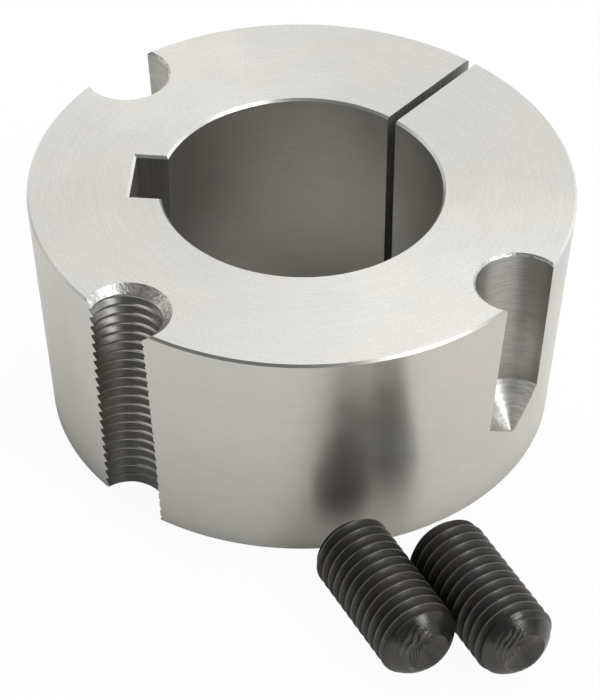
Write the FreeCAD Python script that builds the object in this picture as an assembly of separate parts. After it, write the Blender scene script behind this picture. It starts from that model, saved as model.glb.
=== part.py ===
import FreeCAD, Part
import math
import os

# A tapered split bushing that clamps a hub to a shaft, and its two jack screws, which
# lie loose in front of it. The bushing is one turned steel sleeve: tapered outside,
# bored and keyed inside, and sawn through along its length so that it can close.
# Millimetres and degrees. The origin is on the bore axis in the small end's face,
# +Z points to the large end, and the keyway lies towards -X.

# Turned blank
length = 50.8
large_end_diameter = 107.95
taper_per_side = 4.0
bore_diameter = 55.5625
rim_chamfer = 0.5
bore_chamfer = 0.5

# Saw cut and keyway
slit_angle = 54.2
slit_width = 2.0
keyway_angle = 180.0
keyway_width = 12.7
keyway_side_depth = 6.35
keyway_chamfer = 0.5

# Half holes, with axes parallel to the bore's, this far inside the large end's rim
hole_inset = 3.175
jack_hole_diameter = 13.43
countersink_width = 1.9
drive_hole_diameter = 16.86
drive_hole_spread = 95.0
drive_hole_depth = 31.75
drill_point_angle = 106.0
drive_hole_chamfer = 0.5

# Jack screws, plain at the diameter of their thread crests
screw_diameter = 15.875
screw_length = 31.75
screw_point_chamfer = 3.6
screw_head_chamfer = 1.4
cup_angle = 130.0
socket_across_flats = 7.9375
socket_depth = 9.5
socket_drill_angle = 118.0

# Where the screws lie: their heading from cup point to socket, and the place of the
# left one's socket end, seen from the bore axis and from the large end's rim
screw_heading = 121.8
screw_bearing = -76.3
screw_standoff = 4.25
screw_gap = 0.125
right_screw_lead = 8.3

large_radius = large_end_diameter / 2
taper_slope = math.tan(math.radians(taper_per_side))
small_radius = large_radius - length * taper_slope
bore_radius = bore_diameter / 2
hole_circle_radius = large_radius - hole_inset
jack_hole_angle = slit_angle + 180
jack_hole_radius = jack_hole_diameter / 2
drive_hole_radius = drive_hole_diameter / 2
screw_radius = screw_diameter / 2


def vector(x, y, z):
    return FreeCAD.Vector(x, y, z)


def direction(angle):
    """Unit vector in the floor plane, counter-clockwise from +X."""
    return vector(math.cos(math.radians(angle)), math.sin(math.radians(angle)), 0)


def face_through(points):
    """Flat face bounded by straight edges from point to point."""
    return Part.Face(Part.makePolygon(points + points[:1]))


def turned(profile, axis):
    """Half section revolved once round an axis through the origin."""
    return face_through(profile).revolve(vector(0, 0, 0), axis, 360)


def turned_to(shape, angle):
    """Shape made on the +X side of the bore axis, turned round to its own angle."""
    return shape.rotated(vector(0, 0, 0), vector(0, 0, 1), angle)


def at_hole_circle(shape, angle):
    """Shape made about the Z axis, moved out to the hole circle at its own angle."""
    return turned_to(shape.translated(vector(hole_circle_radius, 0, 0)), angle)


def blank():
    """Turned sleeve: straight bore, tapered outside, chamfered at all four end edges."""
    profile = [
        vector(bore_radius, 0, bore_chamfer),
        vector(bore_radius + bore_chamfer, 0, 0),
        vector(small_radius - rim_chamfer, 0, 0),
        vector(small_radius + rim_chamfer * taper_slope, 0, rim_chamfer),
        vector(large_radius - rim_chamfer * taper_slope, 0, length - rim_chamfer),
        vector(large_radius - rim_chamfer, 0, length),
        vector(bore_radius + bore_chamfer, 0, length),
        vector(bore_radius, 0, length - bore_chamfer),
    ]
    return turned(profile, vector(0, 0, 1))


def slit():
    """Saw cut through the wall, over the whole length."""
    start = vector(0, -slit_width / 2, -length / 2)
    return turned_to(Part.makeBox(2 * large_radius, slit_width, 2 * length, start), slit_angle)


def keyway_section(widening, z):
    """Outline of the keyway at a height, its sides and floor moved out by a widening."""
    half_width = keyway_width / 2
    side_start = math.sqrt(bore_radius ** 2 - half_width ** 2)
    floor = side_start + keyway_side_depth + widening
    edge = half_width + widening
    corners = [vector(0, -edge, z), vector(floor, -edge, z), vector(floor, edge, z), vector(0, edge, z)]
    return Part.makePolygon(corners + corners[:1])


def keyway():
    """Broached keyway, with its edges chamfered in both end faces."""
    passage = Part.Face(keyway_section(0, -length / 2)).extrude(vector(0, 0, 2 * length))
    mouths = []
    for face_z, outward in ((0, -1), (length, 1)):
        inner = keyway_section(0, face_z - outward * keyway_chamfer)
        outer = keyway_section(2 * keyway_chamfer, face_z + outward * keyway_chamfer)
        mouths.append(Part.makeLoft([inner, outer], True, True))
    return turned_to(passage.multiFuse(mouths), keyway_angle)


def mouth(radius, width):
    """45 degree chamfer round the mouth of a hole in the large end's face."""
    return Part.makeCone(radius, radius + 2 * width, 2 * width, vector(0, 0, length - width))


def jack_hole():
    """Threaded half hole at its core diameter, right through and countersunk."""
    core = Part.makeCylinder(jack_hole_radius, 2 * length, vector(0, 0, -length / 2))
    return at_hole_circle(core.fuse(mouth(jack_hole_radius, countersink_width)), jack_hole_angle)


def drive_hole(angle):
    """Blind half hole with a drilled point, which takes the push of a clamping screw."""
    floor = length - drive_hole_depth
    point = drive_hole_radius / math.tan(math.radians(drill_point_angle / 2))
    barrel = Part.makeCylinder(drive_hole_radius, 2 * drive_hole_depth, vector(0, 0, floor))
    tip = Part.makeCone(0, drive_hole_radius, point, vector(0, 0, floor - point))
    hole = barrel.multiFuse([tip, mouth(drive_hole_radius, drive_hole_chamfer)])
    return at_hole_circle(hole, angle)


def bushing():
    cuts = [slit(), keyway(), jack_hole()]
    cuts.append(drive_hole(jack_hole_angle + drive_hole_spread))
    cuts.append(drive_hole(jack_hole_angle - drive_hole_spread))
    return blank().cut(cuts).removeSplitter()


def socket():
    """Hexagon along +X with two flats upright, and the drilled cone at its bottom."""
    corner_radius = socket_across_flats / math.sqrt(3)
    bottom = screw_length - socket_depth
    corners = []
    for step in range(6):
        corner = direction(60 * step) * corner_radius
        corners.append(vector(bottom, corner.y, corner.x))
    hexagon = face_through(corners).extrude(vector(2 * socket_depth, 0, 0))
    drill_radius = socket_across_flats / 2
    cone_height = drill_radius / math.tan(math.radians(socket_drill_angle / 2))
    tip = vector(bottom - cone_height, 0, 0)
    return hexagon.fuse(Part.makeCone(0, drill_radius, cone_height, tip, vector(1, 0, 0)))


def jack_screw():
    """Socket set screw along +X, from its cup point at the origin to its socket end."""
    cup_radius = screw_radius - screw_point_chamfer
    cup_depth = cup_radius / math.tan(math.radians(cup_angle / 2))
    profile = [
        vector(cup_depth, 0, 0),
        vector(0, 0, cup_radius),
        vector(screw_point_chamfer, 0, screw_radius),
        vector(screw_length - screw_head_chamfer, 0, screw_radius),
        vector(screw_length, 0, screw_radius - screw_head_chamfer),
        vector(screw_length, 0, 0),
    ]
    return turned(profile, vector(1, 0, 0)).cut(socket())


def lying_screw(sideways, lead):
    """Jack screw on the floor, set off to the right and point-first from the left one."""
    socket_end = direction(screw_bearing) * (large_radius + screw_standoff)
    along = direction(screw_heading)
    across = direction(screw_heading - 90)
    point = socket_end - along * (screw_length + lead) + across * sideways
    lift = vector(0, 0, screw_radius)
    return turned_to(jack_screw(), screw_heading).translated(point + lift)


nodes = {
    "bushing": bushing(),
    "set_screw_left": lying_screw(0, 0),
    "set_screw_right": lying_screw(screw_diameter + screw_gap, right_screw_lead),
}

os.makedirs("parts", exist_ok=True)
for name, shape in nodes.items():
    shape.exportStep(os.path.join("parts", name + ".step"))
    print(name, "valid", shape.isValid(), "solids", len(shape.Solids), "volume", round(shape.Volume, 1))
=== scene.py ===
import math

import bmesh
import bpy
import numpy as np
from mathutils import Matrix, Vector


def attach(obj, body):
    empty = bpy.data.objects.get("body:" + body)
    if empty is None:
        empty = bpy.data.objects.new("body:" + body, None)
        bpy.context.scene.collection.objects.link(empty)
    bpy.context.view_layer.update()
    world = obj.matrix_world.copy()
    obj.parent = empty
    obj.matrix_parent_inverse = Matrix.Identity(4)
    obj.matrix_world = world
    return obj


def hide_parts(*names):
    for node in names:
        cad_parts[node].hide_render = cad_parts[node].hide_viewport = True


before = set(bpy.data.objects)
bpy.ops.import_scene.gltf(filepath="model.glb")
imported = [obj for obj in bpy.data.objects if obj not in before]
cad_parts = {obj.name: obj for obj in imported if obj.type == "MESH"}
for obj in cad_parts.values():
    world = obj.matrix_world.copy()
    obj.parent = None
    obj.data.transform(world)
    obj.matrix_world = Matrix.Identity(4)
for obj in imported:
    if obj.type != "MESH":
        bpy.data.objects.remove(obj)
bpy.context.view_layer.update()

body = "root"

# Turned blank of the bushing: a steel sleeve with a 4 degree taper outside and a straight
# bore, faced at both ends. The first cut takes the bore out of the solid turning.
# Sizes are in millimetres, and mm makes them metres where they reach Blender.
mm = 0.001
length = 50.8
large_radius = 53.975
taper_per_side = 4.0
bore_radius = 27.78125
rim_chamfer = 0.5
bore_chamfer = 0.5
taper_slope = math.tan(math.radians(taper_per_side))
small_radius = large_radius - length * taper_slope
blank_sides = 480
bore_sides = 360
weld_distance = 0.002
largest_gap_sides = 8


def unit_circle(sides):
    """Points at equal angles round the Z axis: cosine, sine, zero."""
    angle = np.linspace(0, 2 * np.pi, sides, endpoint=False)
    return np.stack([np.cos(angle), np.sin(angle), np.zeros(sides)], axis=1)


def turned_rings(profile, sides):
    """Rings of a turned shape: each radius of the profile times the unit circle, at its height."""
    radius, height = np.array(profile, float).T
    rings = radius[:, None, None] * unit_circle(sides)
    rings[:, :, 2] = height[:, None]
    return rings


def skinned(name, rings, finishes, tips=(0, 0), climb=0):
    """Closed solid through rings of points.

    Each ring is joined to the next by quads, and each end ring by triangles to a tip, which
    is the end ring's middle moved along Z by its value in tips. On a helix the last
    column meets the first one climb rings further on. finishes numbers the material of the
    first end, of each band between two rings, and of the last end.
    """
    rows, columns, _ = rings.shape
    grid = np.arange(rows * columns).reshape(rows, columns)
    quads = np.stack([grid[:-1, :-1], grid[:-1, 1:], grid[1:, 1:], grid[1:, :-1]], axis=-1)
    joined = rows - 1 - climb
    start, end = grid[climb:, 0], grid[:joined + 1, -1]
    seam = np.stack([end[:-1], start[:-1], start[1:], end[1:]], axis=-1)
    first_rim = np.concatenate([grid[0], grid[climb:0:-1, 0]])
    last_rim = np.concatenate([grid[-1], grid[joined:rows - 1, -1][::-1]])
    first_centre = np.full(first_rim.size, grid.size)
    last_centre = np.full(last_rim.size, grid.size + 1)
    first_fan = np.stack([np.roll(first_rim, -1), first_rim, first_centre], axis=-1)
    last_fan = np.stack([last_rim, np.roll(last_rim, -1), last_centre], axis=-1)
    first_tip = rings[0].mean(axis=0) + (0, 0, tips[0])
    last_tip = rings[-1].mean(axis=0) + (0, 0, tips[1])
    band = np.array(finishes[1:-1])
    numbers = np.concatenate([
        np.repeat(band, columns - 1),
        band[:joined],
        np.full(len(first_fan), finishes[0]),
        np.full(len(last_fan), finishes[-1]),
    ])
    points = np.vstack([rings.reshape(-1, 3), first_tip, last_tip]) * mm
    faces = quads.reshape(-1, 4).tolist() + seam.tolist() + first_fan.tolist() + last_fan.tolist()
    mesh = bpy.data.meshes.new(name)
    mesh.from_pydata(points, [], faces)
    mesh.polygons.foreach_set("material_index", numbers.astype(np.int32))
    solid = bpy.data.objects.new(name, mesh)
    bpy.context.scene.collection.objects.link(solid)
    return solid


def machined(piece, tools, operation):
    """Applies each tool to the piece with an exact boolean and deletes the tools. The points
    that the cuts leave on top of each other are welded, and any gap that is left is closed."""
    for tool in tools:
        step = piece.modifiers.new(tool.name, "BOOLEAN")
        step.operation = operation
        step.solver = "EXACT"
        step.object = tool
    depsgraph = bpy.context.evaluated_depsgraph_get()
    result = bpy.data.meshes.new_from_object(piece.evaluated_get(depsgraph))
    piece.modifiers.clear()
    piece.data = result
    welded = bmesh.new()
    welded.from_mesh(result)
    bmesh.ops.remove_doubles(welded, verts=welded.verts, dist=weld_distance * mm)
    bmesh.ops.dissolve_degenerate(welded, edges=welded.edges, dist=weld_distance * mm)
    bmesh.ops.holes_fill(welded, edges=welded.edges, sides=largest_gap_sides)
    welded.to_mesh(result)
    welded.free()
    for tool in tools:
        bpy.data.objects.remove(tool)


# The cuts number the faces that they leave. The bushing gets its materials in this order.
(end_face, taper_wall, bore_wall, turned_edge, slotted_wall, drilled_wall,
 drill_tip, tapped_thread, thread_crest, countersunk_edge, sawn_wall) = range(11)

bushing = skinned(
    "turned_bushing",
    turned_rings([
        (small_radius - rim_chamfer, 0),
        (small_radius + rim_chamfer * taper_slope, rim_chamfer),
        (large_radius - rim_chamfer * taper_slope, length - rim_chamfer),
        (large_radius - rim_chamfer, length),
    ], blank_sides),
    [end_face, turned_edge, taper_wall, turned_edge, end_face],
)
bore = skinned(
    "bore",
    turned_rings([
        (bore_radius + 2 * bore_chamfer, -bore_chamfer),
        (bore_radius, bore_chamfer),
        (bore_radius, length - bore_chamfer),
        (bore_radius + 2 * bore_chamfer, length + bore_chamfer),
    ], bore_sides),
    [end_face, turned_edge, bore_wall, turned_edge, end_face],
)

# Slit and keyway of the bushing: the wall is sawn through once, so that the sleeve can
# close on its shaft, and a rectangular keyway is broached in the bore. The keyway's
# edges are broken in both end faces.
slit_angle = 54.2
slit_width = 2.0
keyway_angle = 180.0
keyway_width = 12.7
keyway_side_depth = 6.35
keyway_chamfer = 0.5


def rectangle(x_low, x_high, y_half):
    """Corners of a rectangle from x_low to x_high and from -y_half to y_half, in order."""
    return [(x_low, -y_half), (x_high, -y_half), (x_high, y_half), (x_low, y_half)]


def box_rings(outline, heights):
    """Rings of a prism: the flat outline repeated at each height."""
    ring = np.column_stack([outline, np.zeros(len(outline))])
    return ring + np.array(heights, float)[:, None, None] * (0, 0, 1)


def turned_to(rings, angle):
    """The rings turned about the bore's axis by an angle in degrees."""
    cosine, sine = math.cos(math.radians(angle)), math.sin(math.radians(angle))
    return rings @ np.array([(cosine, sine, 0), (-sine, cosine, 0), (0, 0, 1)])


slit_rings = box_rings(rectangle(0, 2 * large_radius, slit_width / 2), (-length, 2 * length))
slit = skinned("slit", turned_to(slit_rings, slit_angle), [sawn_wall] * 3)

keyway_edge = keyway_width / 2
keyway_floor = math.sqrt(bore_radius ** 2 - keyway_edge ** 2) + keyway_side_depth
flare = 2 * keyway_chamfer
plain_outline = rectangle(0, keyway_floor, keyway_edge)
flared_outline = rectangle(0, keyway_floor + flare, keyway_edge + flare)
keyway_rings = np.concatenate([
    box_rings(flared_outline, [-keyway_chamfer]),
    box_rings(plain_outline, [keyway_chamfer, length - keyway_chamfer]),
    box_rings(flared_outline, [length + keyway_chamfer]),
])
keyway_finishes = [slotted_wall, turned_edge, slotted_wall, turned_edge, slotted_wall]
keyway = skinned("keyway", turned_to(keyway_rings, keyway_angle), keyway_finishes)

# Half holes of the bushing, drilled along the edge of the large end: one right through,
# countersunk and tapped 5/8-11, and two blind ones with the cone that the drill leaves.
# The other half of each hole is in the hub.
hole_inset = 3.175
hole_circle_radius = large_radius - hole_inset
hole_sides = 144
jack_hole_angle = slit_angle + 180
tapped_radius = 6.715
countersink_width = 1.9
inch = 25.4
threads_per_inch = 11
thread_pitch = inch / threads_per_inch
thread_columns = 128
points_per_turn = 8
turns_before_end = 2
jack_thread_depth_radius = 7.42
jack_thread_inner_radius = 6.45
jack_thread_offset = 0.48
jack_thread_turns = 25
jack_thread_phase = 0.21
drive_hole_radius = 8.43
drive_hole_spread = 95.0
drive_hole_depth = 31.75
drive_hole_chamfer = 0.5
drill_point_angle = 106.0
tip_share = 0.04


def thread_rings(crest_radius, root_radius, crest_share, root_share, rounding, turns, phase):
    """Rings of a right-hand thread.

    A ring holds one point of the thread's section all the way round. Its height is the
    pitch times the turn, plus the point's share of the pitch, plus the angle's share of a
    turn. The radius steps between crest and root along straight flanks, and each of the
    four corners is cut off by the rounding's share of the pitch on both sides, which makes
    eight points to a turn.
    """
    flank_share = (1 - crest_share - root_share) / 2
    corners = np.array([0, crest_share, crest_share + flank_share, 1 - flank_share])
    share = np.sort(np.concatenate([corners - rounding, corners + rounding]))
    closed_corners = np.concatenate([corners, [1]])
    radii = [crest_radius, crest_radius, root_radius, root_radius, crest_radius]
    radius = np.tile(np.interp(share % 1, closed_corners, radii), turns)
    share = (np.arange(turns)[:, None] + share).ravel()
    angle_share = np.arange(thread_columns) / thread_columns
    rings = radius[:, None, None] * unit_circle(thread_columns)
    bottom = -turns_before_end * thread_pitch
    rings[:, :, 2] = bottom + thread_pitch * (share[:, None] + angle_share + phase)
    return rings


jack_thread_rings = thread_rings(
    jack_thread_depth_radius, jack_thread_inner_radius, crest_share=0.20, root_share=0.06,
    rounding=0.03, turns=jack_thread_turns, phase=jack_thread_phase)
beside_hole_circle = np.array([hole_circle_radius, -jack_thread_offset, 0])
jack_thread = skinned(
    "jack_thread",
    turned_to(jack_thread_rings + beside_hole_circle, jack_hole_angle),
    [tapped_thread] * (len(jack_thread_rings) + 1),
    climb=points_per_turn,
)

at_hole_circle = np.array([hole_circle_radius, 0, 0])
core_rings = turned_rings([(tapped_radius, -length / 2), (tapped_radius, 3 * length / 2)], hole_sides)
jack_core = skinned(
    "jack_core", turned_to(core_rings + at_hole_circle, jack_hole_angle), [thread_crest] * 3)
countersink_rings = turned_rings([
    (tapped_radius - countersink_width, length - 2 * countersink_width),
    (tapped_radius + 2 * countersink_width, length + countersink_width),
], hole_sides)
countersink = skinned(
    "countersink",
    turned_to(countersink_rings + at_hole_circle, jack_hole_angle),
    [tapped_thread, countersunk_edge, countersunk_edge],
)

# The cone of a drilled hole is carried down to a small ring, and a fan closes it at the tip.
drill_point = drive_hole_radius / math.tan(math.radians(drill_point_angle / 2))
drive_hole_rings = turned_rings([
    (tip_share * drive_hole_radius, length - drive_hole_depth - (1 - tip_share) * drill_point),
    (drive_hole_radius, length - drive_hole_depth),
    (drive_hole_radius, length - drive_hole_chamfer),
    (drive_hole_radius + 2 * drive_hole_chamfer, length + drive_hole_chamfer),
], hole_sides)
drive_holes = []
for angle in (jack_hole_angle + drive_hole_spread, jack_hole_angle - drive_hole_spread):
    drive_holes.append(skinned(
        "drive_hole",
        turned_to(drive_hole_rings + at_hole_circle, angle),
        [drill_tip, drill_tip, drilled_wall, countersunk_edge, countersunk_edge],
        tips=(-tip_share * drill_point, 0),
    ))

machined(bushing, [bore, slit, keyway, jack_core, jack_thread, countersink] + drive_holes, "DIFFERENCE")

# Finish of the bushing: bare medium-carbon steel. Both ends are faced, which leaves marks in
# circles round the bore, the taper is fine-turned, and the rest is bored, broached, drilled,
# tapped or sawn. It is neither plated nor painted.
warm_steel = (0.658, 0.637, 0.592, 1)
cool_steel = (0.626, 0.626, 0.608, 1)
steel_pit_size = 0.55
steel_patch_size = 9.0
patch_contrast = 0.10
patch_wear = 0.12
pit_darkening = 0.35
pit_depth = 1.5
grain_height = 4.0
scratch_direction = (0.45, 0.75, 0.48)
scratch_run = 7.0
scratch_spacing = 0.35
bushing_sharp_angle = 32


def add(tree, kind, inputs=None, **settings):
    """Adds a node, sets its properties, and sets or links its inputs by name or number."""
    made = tree.nodes.new(kind)
    for name, value in settings.items():
        setattr(made, name, value)
    for name, value in (inputs or {}).items():
        if isinstance(value, bpy.types.NodeSocket):
            tree.links.new(value, made.inputs[name])
        else:
            made.inputs[name].default_value = value
    return made


def calculate(tree, operation, *values):
    """Math node; its result."""
    return add(tree, "ShaderNodeMath", dict(enumerate(values)), operation=operation).outputs[0]


def product(tree, first, *others):
    """All the values multiplied together."""
    result = first
    for value in others:
        result = calculate(tree, "MULTIPLY", result, value)
    return result


def varied(tree, middle, noise, swing):
    """The middle value moved by a noise: half the swing down where it is 0, half up at 1."""
    return calculate(tree, "MULTIPLY_ADD", noise, swing, middle - swing / 2)


def ramp(tree, value, start, end, low=0.0, high=1.0):
    """Goes evenly from low to high while the value goes from start to end."""
    return add(tree, "ShaderNodeMapRange", {0: value, 1: start, 2: end, 3: low, 4: high}).outputs[0]


def mixed(tree, share, first, second):
    """Colour that goes from the first to the second while the share goes from 0 to 1."""
    mix = add(tree, "ShaderNodeMix", {0: share, "A": first, "B": second}, data_type="RGBA")
    return mix.outputs["Result"]


def effect_group(name, inputs, outputs):
    """Empty node group with its sockets; the tree, its inputs and its output node."""
    tree = bpy.data.node_groups.new(name, "ShaderNodeTree")
    for socket, kind in inputs.items():
        tree.interface.new_socket(socket, in_out="INPUT", socket_type="NodeSocket" + kind)
    for socket, kind in outputs.items():
        tree.interface.new_socket(socket, in_out="OUTPUT", socket_type="NodeSocket" + kind)
    return tree, add(tree, "NodeGroupInput").outputs, add(tree, "NodeGroupOutput").inputs


def tool_marks():
    """Fine parallel marks: four-dimensional noise that changes slowly with the position
    over the marks' run, and quickly with the distance across them over their spacing."""
    tree, given, result = effect_group(
        "tool marks",
        {"Position": "Vector", "Across": "Float", "Run": "Float", "Spacing": "Float"},
        {"Marks": "Float"})
    slowness = calculate(tree, "DIVIDE", 1.0, given["Run"])
    slow = add(
        tree, "ShaderNodeVectorMath",
        {"Vector": given["Position"], "Scale": slowness}, operation="SCALE").outputs[0]
    quick = calculate(tree, "DIVIDE", given["Across"], given["Spacing"])
    noise = add(
        tree, "ShaderNodeTexNoise",
        {"Vector": slow, "W": quick, "Scale": 1.0, "Detail": 3.0}, noise_dimensions="4D")
    tree.links.new(noise.outputs[0], result["Marks"])
    return tree


def pits_and_mottling():
    """Small dark pits, where a fine noise passes a threshold; an even grain; and two slow
    noises, one of brightness and one from cool to warm."""
    tree, given, result = effect_group(
        "pits and mottling",
        {"Position": "Vector", "Pit size": "Float", "Pit share": "Float", "Patch size": "Float"},
        {"Pits": "Float", "Grain": "Float", "Patches": "Float", "Warmth": "Float"})
    no_pits_above = 0.86
    pit_edge = 0.06
    grain_in_pits = 0.7
    warmth_in_patches = 2.3

    def noise_at(size, detail):
        """Plain noise whose patches are about this size."""
        scale = calculate(tree, "DIVIDE", 1.0, size)
        settings = {"Vector": given["Position"], "Scale": scale, "Detail": detail}
        return add(tree, "ShaderNodeTexNoise", settings).outputs[0]

    threshold = calculate(tree, "SUBTRACT", no_pits_above, given["Pit share"])
    fine = noise_at(given["Pit size"], detail=1.0)
    pits = ramp(tree, fine, threshold, calculate(tree, "ADD", threshold, pit_edge))
    grain_size = product(tree, given["Pit size"], grain_in_pits)
    warmth_size = product(tree, given["Patch size"], warmth_in_patches)
    tree.links.new(pits, result["Pits"])
    tree.links.new(noise_at(grain_size, detail=2.0), result["Grain"])
    tree.links.new(noise_at(given["Patch size"], detail=4.0), result["Patches"])
    tree.links.new(noise_at(warmth_size, detail=2.0), result["Warmth"])
    return tree


marks_group = tool_marks()
pits_group = pits_and_mottling()


def marks_at(tree, position, measure, run, spacing):
    """The tool marks' value, from 0 to 1, with their run and spacing in millimetres."""
    return add(tree, "ShaderNodeGroup", {
        "Position": position, "Across": measure, "Run": run * mm, "Spacing": spacing * mm,
    }, node_tree=marks_group).outputs["Marks"]


def pits_at(tree, position, pit_size, pit_share, patch_size):
    """The outputs of the pits and mottling, with the sizes in millimetres."""
    return add(tree, "ShaderNodeGroup", {
        "Position": position, "Pit size": pit_size * mm, "Pit share": pit_share,
        "Patch size": patch_size * mm,
    }, node_tree=pits_group).outputs


def marks_round(centre):
    """Marks that run in circles round an upright line through the centre: the measure across
    them, which is the distance from the line, and the way across them."""
    def across(tree, position):
        offset = [-share * mm for share in centre] + [0]
        moved = add(tree, "ShaderNodeVectorMath", {0: position, 1: offset}, operation="ADD").outputs[0]
        flat = add(tree, "ShaderNodeVectorMath", {0: moved, 1: (1, 1, 0)}, operation="MULTIPLY").outputs[0]
        return add(tree, "ShaderNodeVectorMath", {0: flat}, operation="LENGTH").outputs["Value"], flat
    return across


def marks_crossed_by(direction):
    """Straight marks: the measure across them, which is the position's share of a direction,
    and the direction."""
    def across(tree, position):
        measure = add(tree, "ShaderNodeVectorMath", {0: position, 1: direction}, operation="DOT_PRODUCT")
        way = add(tree, "ShaderNodeCombineXYZ", dict(enumerate(direction)))
        return measure.outputs["Value"], way.outputs[0]
    return across


facing_marks = marks_round((0, 0))
level_marks = marks_crossed_by((0, 0, 1))
upright_marks = marks_crossed_by((0.8, 0.6, 0))


def bare_steel(name, across, brightness, roughness, anisotropy, run, spacing, depth, contrast, grain,
               pit_share):
    """Cut steel: a cool and a warm grey mixed in slow patches, darkened in small pits, with
    a grain and tool marks that set the bump and lighten or darken the colour. Reflections
    are drawn out across the marks. Run, spacing and depth of the marks are in millimetres."""
    material = bpy.data.materials.new(name)
    material.use_nodes = True
    tree = material.node_tree
    shader = tree.nodes["Principled BSDF"]
    position = add(tree, "ShaderNodeTexCoord").outputs["Object"]
    measure, way_across = across(tree, position)
    marks = marks_at(tree, position, measure, run, spacing)
    pits = pits_at(tree, position, steel_pit_size, pit_share, steel_patch_size)
    scratch_measure = marks_crossed_by(scratch_direction)(tree, position)[0]
    scratch_noise = marks_at(tree, position, scratch_measure, scratch_run, scratch_spacing)
    scratch = ramp(tree, scratch_noise, start=0.66, end=0.74)

    warmth = ramp(tree, pits["Warmth"], start=0.35, end=0.65)
    steel = mixed(tree, warmth, cool_steel, warm_steel)
    patch_light = varied(tree, brightness, pits["Patches"], patch_contrast)
    mark_light = varied(tree, 0, marks, contrast)
    grain_light = varied(tree, 0, pits["Grain"], grain)
    light = calculate(tree, "ADD", patch_light, calculate(tree, "ADD", mark_light, grain_light))
    lit = product(tree, light, calculate(tree, "MULTIPLY_ADD", pits["Pits"], -pit_darkening, 1.0))
    colour = add(tree, "ShaderNodeVectorMath", {0: steel, 1: lit}, operation="MULTIPLY").outputs[0]
    tree.links.new(colour, shader.inputs["Base Color"])

    worn = varied(tree, roughness, pits["Patches"], patch_wear)
    tree.links.new(worn, shader.inputs["Roughness"])
    grained = calculate(tree, "MULTIPLY_ADD", pits["Grain"], grain_height * grain, marks)
    pitted = calculate(tree, "MULTIPLY_ADD", pits["Pits"], -pit_depth, grained)
    relief = calculate(tree, "SUBTRACT", pitted, scratch)
    bump = add(tree, "ShaderNodeBump", {"Height": relief, "Strength": 1.0, "Distance": depth * mm})
    tree.links.new(bump.outputs[0], shader.inputs["Normal"])
    shader.inputs["Metallic"].default_value = 1.0
    shader.inputs["Anisotropic"].default_value = anisotropy
    if anisotropy:
        tree.links.new(way_across, shader.inputs["Tangent"])
    return material


# One material for each finish number, in the order of the numbers.
for finish in (
    bare_steel("faced end", facing_marks, brightness=1.05, roughness=0.34, anisotropy=0.70,
               run=6.0, spacing=0.28, depth=0.006, contrast=0.22, grain=0.40, pit_share=0.09),
    bare_steel("turned taper", level_marks, brightness=0.955, roughness=0.33, anisotropy=0.66,
               run=5.0, spacing=0.22, depth=0.003, contrast=0.18, grain=0.12, pit_share=0.05),
    bare_steel("bored wall", level_marks, brightness=0.90, roughness=0.34, anisotropy=0.45,
               run=9.0, spacing=0.30, depth=0.004, contrast=0.24, grain=0.14, pit_share=0.05),
    # The turned edges' brightness of 1.20 is a painted highlight on the chamfers.
    bare_steel("turned edge", level_marks, brightness=1.20, roughness=0.30, anisotropy=0.0,
               run=8.0, spacing=0.20, depth=0.004, contrast=0.20, grain=0.10, pit_share=0.03),
    bare_steel("slotted wall", upright_marks, brightness=0.74, roughness=0.38, anisotropy=0.0,
               run=20.0, spacing=0.3, depth=0.005, contrast=0.4, grain=0.05, pit_share=0.05),
    # The drilled wall's low brightness is painted shade inside the blind holes.
    bare_steel("drilled wall", level_marks, brightness=0.62, roughness=0.36, anisotropy=0.52,
               run=4.0, spacing=0.40, depth=0.008, contrast=0.4, grain=0.15, pit_share=0.04),
    # The drill point's high brightness is a painted highlight on the cone at the bottom of the blind
    # holes.
    bare_steel("drill point", level_marks, brightness=1.14, roughness=0.42, anisotropy=0.72,
               run=3.0, spacing=0.35, depth=0.030, contrast=1.6, grain=0.15, pit_share=0.04),
    # The tapped thread's low brightness is painted shade in the grooves of the half hole.
    bare_steel("tapped thread", level_marks, brightness=0.52, roughness=0.31, anisotropy=0.0,
               run=2.0, spacing=0.3, depth=0.010, contrast=0.4, grain=0.20, pit_share=0.07),
    bare_steel("thread crest", level_marks, brightness=1.00, roughness=0.36, anisotropy=0.0,
               run=2.0, spacing=0.3, depth=0.012, contrast=0.6, grain=0.40, pit_share=0.10),
    bare_steel("countersunk edge", upright_marks, brightness=1.05, roughness=0.34, anisotropy=0.0,
               run=0.7, spacing=0.5, depth=0.10, contrast=2.2, grain=0.15, pit_share=0.06),
    bare_steel("sawn wall", upright_marks, brightness=0.62, roughness=0.62, anisotropy=0.0,
               run=9.0, spacing=0.6, depth=0.030, contrast=0.9, grain=0.40, pit_share=0.12),
):
    bushing.data.materials.append(finish)


def softly_shaded(piece, sharp_angle):
    """Smooth shading, with every edge over the angle in degrees left sharp."""
    piece.data.shade_smooth()
    piece.data.set_sharp_from_angle(angle=math.radians(sharp_angle))


softly_shaded(bushing, bushing_sharp_angle)
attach(bushing, body)
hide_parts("bushing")

# Set screws: 5/8-11 by 1-1/4 in alloy steel, with a cup point and a hexagon socket, hardened
# and blackened in hot oxide. They lie loose beside each other, cup points to the front.
screw_length = 31.75
screw_radius = 7.9375
screw_core_radius = 6.72
screw_thread_turns = 18
cup_radius = 4.34
cup_depth = 2.02
shoulder_length = 3.6
shoulder_bulge = 0.25
shoulder_steps = 9
head_chamfer = 1.4
socket_across_flats = 7.9375
socket_depth = 9.5
socket_drill_angle = 118.0
screw_sides = 192
cut_overshoot = 1.0
screw_sharp_angle = 35
blackened = 0

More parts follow.
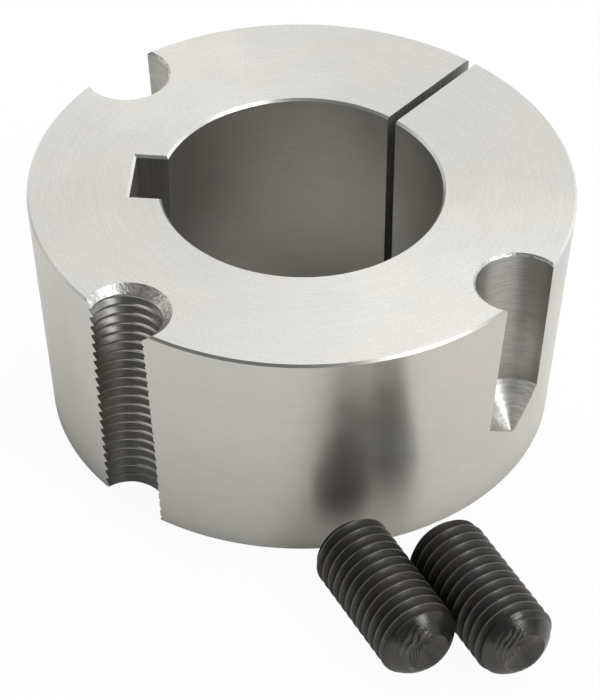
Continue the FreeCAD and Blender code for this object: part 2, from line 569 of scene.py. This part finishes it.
# Where they lie: the heading runs from cup point to socket, and the left one's socket end
# is placed by its bearing from the bore's axis and its standoff from the large end's rim.
screw_heading = 121.8
screw_bearing = -76.3
screw_standoff = 4.25
screw_gap = 0.125
right_screw_lead = 8.3
left_thread_phase = 0.0
right_thread_phase = 0.3


def level_direction(angle):
    """Level vector of length one, at an angle in degrees counter-clockwise from X."""
    return np.array([math.cos(math.radians(angle)), math.sin(math.radians(angle)), 0])


def arc_between(start, end, bulge, steps):
    """Profile points from start to end along a shallow arc: the chord plus its normal times
    the bulge times the sine of half a turn's share."""
    share = np.linspace(0, 1, steps)[:, None]
    start, end = np.array(start), np.array(end)
    chord = end - start
    outward = np.array([chord[1], -chord[0]]) / np.hypot(*chord)
    return start + chord * share + outward * bulge * np.sin(np.pi * share)


along = level_direction(screw_heading)
sideways = np.array([along[1], -along[0], 0])
upward = np.array([0, 0, 1])


def set_screw(name, cup_centre, thread_phase):
    """Threaded rod trimmed to the turned outline, with its cup and its socket cut out.

    It is made along Z from the cup's rim, with X for its upper side, and then laid down
    along the heading. Its place before that, and the way out from its axis, stay with the
    mesh as attributes, which the finish reads.
    """
    rod_rings = thread_rings(
        screw_radius, screw_core_radius, crest_share=0.125, root_share=0.25,
        rounding=0.028, turns=screw_thread_turns, phase=thread_phase)
    screw = skinned(name, rod_rings, [blackened] * (len(rod_rings) + 1), climb=points_per_turn)
    shoulder = arc_between(
        (cup_radius, 0), (screw_radius, shoulder_length), shoulder_bulge, shoulder_steps)
    outline = turned_rings([
        *shoulder,
        (screw_radius, screw_length - head_chamfer),
        (screw_radius - head_chamfer, screw_length),
    ], screw_sides)
    trim = skinned("trim", outline, [blackened] * (len(outline) + 1))
    machined(screw, [trim], "INTERSECT")

    cup_rings = turned_rings([
        (2 * cup_radius, -cup_depth),
        (tip_share * cup_radius, (1 - tip_share) * cup_depth),
    ], screw_sides)
    cup = skinned("cup", cup_rings, [blackened] * 3, tips=(0, tip_share * cup_depth))
    corner_angles = np.radians(60 * np.arange(6))
    corner_radius = socket_across_flats / math.sqrt(3)
    hexagon = corner_radius * np.column_stack([np.cos(corner_angles), np.sin(corner_angles)])
    socket_rings = box_rings(hexagon, [screw_length - socket_depth, screw_length + cut_overshoot])
    socket_cone = socket_across_flats / 2 / math.tan(math.radians(socket_drill_angle / 2))
    socket = skinned("socket", socket_rings, [blackened] * 3, tips=(-socket_cone, 0))
    machined(screw, [cup, socket], "DIFFERENCE")

    vertices = screw.data.vertices
    standing = np.empty(len(vertices) * 3)
    vertices.foreach_get("co", standing)
    standing = standing.reshape(-1, 3)
    laid_down = np.array([upward, sideways, along])
    outward = (standing * (1, 1, 0)) @ laid_down
    for attribute, vectors in (("own place", standing), ("outward", outward)):
        kept = screw.data.attributes.new(attribute, "FLOAT_VECTOR", "POINT")
        kept.data.foreach_set("vector", vectors.ravel())
    lying = standing @ laid_down + cup_centre * mm
    vertices.foreach_set("co", lying.ravel())
    screw.data.update()
    return screw


left_socket_end = (large_radius + screw_standoff) * level_direction(screw_bearing)
left_cup_centre = left_socket_end - along * screw_length + upward * screw_radius
screw_spacing = 2 * screw_radius + screw_gap
right_cup_centre = left_cup_centre - along * right_screw_lead + sideways * screw_spacing

# Hot oxide on both screws: black, browner and bluer in slow patches, and oily. The thread crests are
# lighter, partly worn bare and partly a painted highlight; the cup's rim is nicked where the screw lies on
# it; and the turning tool has chattered on one side of the cup, with the chatter's ridges lightened as a
# painted highlight.
oxide_black = (0.0205, 0.0200, 0.0160, 1)
oxide_brown = (0.046, 0.023, 0.016, 1)
oxide_blue = (0.016, 0.0185, 0.022, 1)
# Crest colour: partly oxide worn off the crests, partly a painted highlight.
crest_wear_and_highlight = (0.115, 0.112, 0.104, 1)
# Colour of the chatter ridges: a painted highlight.
chatter_ridge_highlight = (0.12, 0.115, 0.10, 1)
bare_nick = (0.30, 0.29, 0.27, 1)
oxide_tint = (1.0, 0.975, 0.91, 1)
oxide_specular = 0.7
oxide_anisotropy = 0.6
oxide_pit_size = 0.4
oxide_pit_share = 0.14
oxide_patch_size = 4.0
oxide_wear = 0.16
oxide_bump = 0.03
turning_run = 2.0
turning_spacing = 0.22
chatter_centre = (-0.3, 2.2)
chatter_spacing = 0.85
chatter_wavering = 2.2
chatter_patch_centre = (2.3, -2.3, 0.8)
chatter_swing = 2.4
chatter_least = -0.4
# Share of the painted highlight on the chatter ridges.
chatter_highlight_share = 0.8
chatter_height = 2.6
oxide_grain_height = 1.3


def tool_chatter(tree, place, patches):
    """Ridges of the chattering tool: the sine of the distance from a line beside the axis,
    bent by a slow noise, faded out round the middle of their patch and made uneven."""
    distance = marks_round(chatter_centre)(tree, place)[0]
    bent = calculate(tree, "MULTIPLY_ADD", patches, chatter_wavering * mm, distance)
    waves = calculate(tree, "SINE", product(tree, bent, math.tau / (chatter_spacing * mm)))
    middle = [share * mm for share in chatter_patch_centre]
    off_middle = add(tree, "ShaderNodeVectorMath", {0: place, 1: middle}, operation="DISTANCE")
    patch = ramp(tree, off_middle.outputs["Value"], start=2.6 * mm, end=4.2 * mm, low=1.0, high=0.0)
    unevenness = calculate(tree, "MULTIPLY_ADD", patches, chatter_swing, chatter_least)
    return product(tree, waves, patch, unevenness)


def rim_nicks(tree, radius, depth, height, grain):
    """Share of bare steel on the cup's rim: near its radius, at the very end, on the
    underside, and only where the grain is strong."""
    off_rim = calculate(tree, "ABSOLUTE", calculate(tree, "SUBTRACT", radius, cup_radius * mm))
    near_rim = ramp(tree, off_rim, start=0.12 * mm, end=0.4 * mm, low=1.0, high=0.0)
    at_end = ramp(tree, depth, start=0.2 * mm, end=0.8 * mm, low=1.0, high=0.0)
    underside = ramp(tree, height, start=-2.5 * mm, end=-1.0 * mm, low=1.0, high=0.0)
    worn_spots = ramp(tree, grain, start=0.5, end=0.62)
    return product(tree, near_rim, at_end, underside, worn_spots)


def hot_oxide():
    """The oxide's colours laid over each other, with the crests lighter, partly as a painted highlight,
    and the chatter's ridges lighter as a painted highlight; a sheen that is smoother on the cup and the
    shoulder, and matt at the thread's root; and turning marks round the axis, which are faint in the
    thread. The screw's own place gives the height, radius and depth from the cup."""
    material = bpy.data.materials.new("hot oxide")
    material.use_nodes = True
    tree = material.node_tree
    shader = tree.nodes["Principled BSDF"]
    place = add(tree, "ShaderNodeAttribute", attribute_name="own place").outputs["Vector"]
    outward = add(tree, "ShaderNodeAttribute", attribute_name="outward").outputs["Vector"]
    position = add(tree, "ShaderNodeTexCoord").outputs["Object"]
    radius = marks_round((0, 0))(tree, place)[0]
    height, _, depth = add(tree, "ShaderNodeSeparateXYZ", {0: place}).outputs
    marks = marks_at(tree, place, radius, turning_run, turning_spacing)
    pits = pits_at(tree, position, oxide_pit_size, oxide_pit_share, oxide_patch_size)
    chatter = tool_chatter(tree, place, pits["Patches"])

    brownness = ramp(tree, pits["Patches"], start=0.52, end=0.70)
    blueness = ramp(tree, pits["Warmth"], start=0.55, end=0.75)
    tinted = mixed(tree, blueness, mixed(tree, brownness, oxide_black, oxide_brown), oxide_blue)
    # Lighter crests: partly worn oxide, partly a painted highlight.
    crest = ramp(tree, radius, start=7.80 * mm, end=7.93 * mm)
    crest_patchiness = ramp(tree, pits["Grain"], start=0.38, end=0.52, low=0.45, high=1.0)
    crest_worn_and_highlit = mixed(tree, product(tree, crest, crest_patchiness), tinted, crest_wear_and_highlight)
    nicked = mixed(tree, rim_nicks(tree, radius, depth, height, pits["Grain"]), crest_worn_and_highlit, bare_nick)
    # The chatter's ridges are lightened as a painted highlight; their relief is the bump further down.
    chatter_highlit = mixed(tree, product(tree, chatter, chatter_highlight_share), nicked, chatter_ridge_highlight)
    tree.links.new(chatter_highlit, shader.inputs["Base Color"])

    sheen = ramp(tree, depth, start=3.2 * mm, end=4.2 * mm, low=0.12, high=0.20)
    matt_root = ramp(tree, radius, start=7.0 * mm, end=7.85 * mm, low=0.50, high=0.0)
    in_thread = calculate(tree, "GREATER_THAN", depth, shoulder_length * mm)
    oiled = calculate(tree, "MULTIPLY_ADD", matt_root, in_thread, sheen)
    worn = calculate(tree, "MULTIPLY_ADD", pits["Patches"], oxide_wear, oiled)
    tree.links.new(worn, shader.inputs["Roughness"])

    near_cup = ramp(tree, depth, start=3.2 * mm, end=4.2 * mm, low=1.0, high=0.15)
    turned = product(tree, marks, near_cup)
    grained = calculate(tree, "MULTIPLY_ADD", pits["Grain"], oxide_grain_height, turned)
    relief = calculate(tree, "MULTIPLY_ADD", chatter, chatter_height, grained)
    bump = add(tree, "ShaderNodeBump", {"Height": relief, "Strength": 1.0, "Distance": oxide_bump * mm})
    tree.links.new(bump.outputs[0], shader.inputs["Normal"])
    tree.links.new(outward, shader.inputs["Tangent"])
    shader.inputs["Anisotropic"].default_value = oxide_anisotropy
    shader.inputs["Specular IOR Level"].default_value = oxide_specular
    shader.inputs["Specular Tint"].default_value = oxide_tint
    return material


oxide = hot_oxide()
for name, node, cup_centre, phase in (
    ("left_set_screw", "set_screw_left", left_cup_centre, left_thread_phase),
    ("right_set_screw", "set_screw_right", right_cup_centre, right_thread_phase),
):
    screw = set_screw(name, cup_centre, phase)
    screw.data.materials.append(oxide)
    softly_shaded(screw, screw_sharp_angle)
    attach(screw, body)
    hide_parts(node)

# Floor: a plain sheet of matt white paper under the parts, 8 m square. Outside the bushing's foot it has a
# faint painted glow, which lights the parts as a lamp would; under the bushing it has none, which is
# painted shade under the bore. It is lightened towards the camera alone.
floor_half = 4000.0
floor_drop = 0.05
paper_white = (0.88, 0.865, 0.83, 1)
paper_roughness = 0.9
paper_shine = 0.1
painted_glow_colour = (1, 0.985, 0.95, 1)
painted_paper_glow = 0.13
paper_lightening = 0.95

floor_corners = box_rings(rectangle(-floor_half, floor_half, floor_half), [-floor_drop])[0] * mm
floor_mesh = bpy.data.meshes.new("white_sheet")
floor_mesh.from_pydata(floor_corners, [], [(0, 1, 2, 3)])
floor = bpy.data.objects.new("white_sheet", floor_mesh)
bpy.context.scene.collection.objects.link(floor)


def white_paper():
    """Matt white, with a faint painted glow outside the bushing's foot and none under it, which is painted
    shade there; towards the camera it is mixed with a glow, which lightens its shadows.
    """
    material = bpy.data.materials.new("white paper")
    material.use_nodes = True
    tree = material.node_tree
    shader = tree.nodes["Principled BSDF"]
    shader.inputs["Base Color"].default_value = paper_white
    shader.inputs["Roughness"].default_value = paper_roughness
    shader.inputs["Specular IOR Level"].default_value = paper_shine
    shader.inputs["Emission Color"].default_value = painted_glow_colour
    spot = add(tree, "ShaderNodeTexCoord").outputs["Object"]
    reach = add(tree, "ShaderNodeVectorMath", {0: spot}, operation="LENGTH").outputs["Value"]
    # Painted glow outside the bushing's foot; the lack of it under the bushing is painted shade under the
    # bore.
    painted_glow_outside_foot = ramp(tree, reach, small_radius * mm, large_radius * mm, low=0.0, high=painted_paper_glow)
    tree.links.new(painted_glow_outside_foot, shader.inputs["Emission Strength"])
    seen = add(tree, "ShaderNodeLightPath").outputs["Is Camera Ray"]
    glow = add(tree, "ShaderNodeEmission", {"Color": (1, 1, 1, 1), "Strength": 1.0}).outputs[0]
    lightened = add(tree, "ShaderNodeMixShader", {
        0: product(tree, seen, paper_lightening), 1: shader.outputs[0], 2: glow}).outputs[0]
    tree.links.new(lightened, tree.nodes["Material Output"].inputs["Surface"])
    return material


floor.data.materials.append(white_paper())

# Studio: a dark room with a small lamp, and soft panels at the back, at both sides and
# overhead. Each has the bearing and the height of its middle in degrees, its brightness,
# and its sharpness: the higher that is, the smaller the panel.
panels = {
    "lamp": (330, 46, 14.0, 120),
    "low right": (329, 8, 1.15, 13),
    "high right": (350, 56, 0.5, 10),
    "right back": (40, 38, 1.85, 10),
    "back": (92, 58, 1.3, 12),
    "back left": (145, 40, 0.95, 10),
    "overhead back": (72, 68, 0.5, 10),
    "overhead": (0, 90, 0.3, 10),
    "horizon right": (45, 2, 0.95, 12),
    "horizon back": (90, 2, 0.5, 10),
    "horizon left": (135, 2, 0.5, 10),
    "front left": (235, 30, 0.17, 2),
    "left": (172, 22, 0.50, 24),
}
backdrop_brightness = 1.0


def studio_world():
    """Room light by direction: each panel is its brightness times a power of the cosine of
    the angle from its middle. The camera sees a plain backdrop instead."""
    world = bpy.data.worlds.new("studio")
    world.use_nodes = True
    tree = world.node_tree
    toward = add(tree, "ShaderNodeTexCoord").outputs["Generated"]
    level = 0.0
    for bearing, height, brightness, sharpness in panels.values():
        bearing, height = math.radians(bearing), math.radians(height)
        reach = math.cos(height)
        middle = (math.cos(bearing) * reach, math.sin(bearing) * reach, math.sin(height))
        cosine = add(tree, "ShaderNodeVectorMath", {0: toward, 1: middle}, operation="DOT_PRODUCT")
        facing = calculate(tree, "MAXIMUM", cosine.outputs["Value"], 0.0)
        panel = calculate(tree, "POWER", facing, sharpness)
        level = calculate(tree, "MULTIPLY_ADD", panel, brightness, level)
    seen = add(tree, "ShaderNodeLightPath").outputs["Is Camera Ray"]
    strength = add(tree, "ShaderNodeMix", {0: seen, 2: level, 3: backdrop_brightness}).outputs[0]
    background = tree.nodes["Background"]
    background.inputs["Color"].default_value = (1, 1, 1, 1)
    tree.links.new(strength, background.inputs["Strength"])
    return world


bpy.context.scene.world = studio_world()

# Camera, fitted to the rim, bore and foot of the bushing: it looks down at the bore's axis.
# Its place is in metres.
aim_point = Vector((-0.0001, 0, 0.00792))
camera_distance = 0.74573
camera_azimuth = math.radians(4.31)
camera_elevation = math.radians(40.97)
camera_roll = math.radians(0.498)
back = Vector((
    math.sin(camera_azimuth) * math.cos(camera_elevation),
    -math.cos(camera_azimuth) * math.cos(camera_elevation),
    math.sin(camera_elevation),
))
camera = bpy.data.objects.new("camera", bpy.data.cameras.new("camera"))
camera.data.sensor_width = 36
camera.data.lens = 188.23
camera.location = aim_point + back * camera_distance
camera.rotation_mode = "QUATERNION"
looking = (-back).to_track_quat("-Z", "Y")
camera.rotation_quaternion = looking @ Matrix.Rotation(camera_roll, 3, "Z").to_quaternion()
bpy.context.scene.collection.objects.link(camera)
bpy.context.scene.camera = camera
bpy.context.scene.view_settings.view_transform = "Standard"
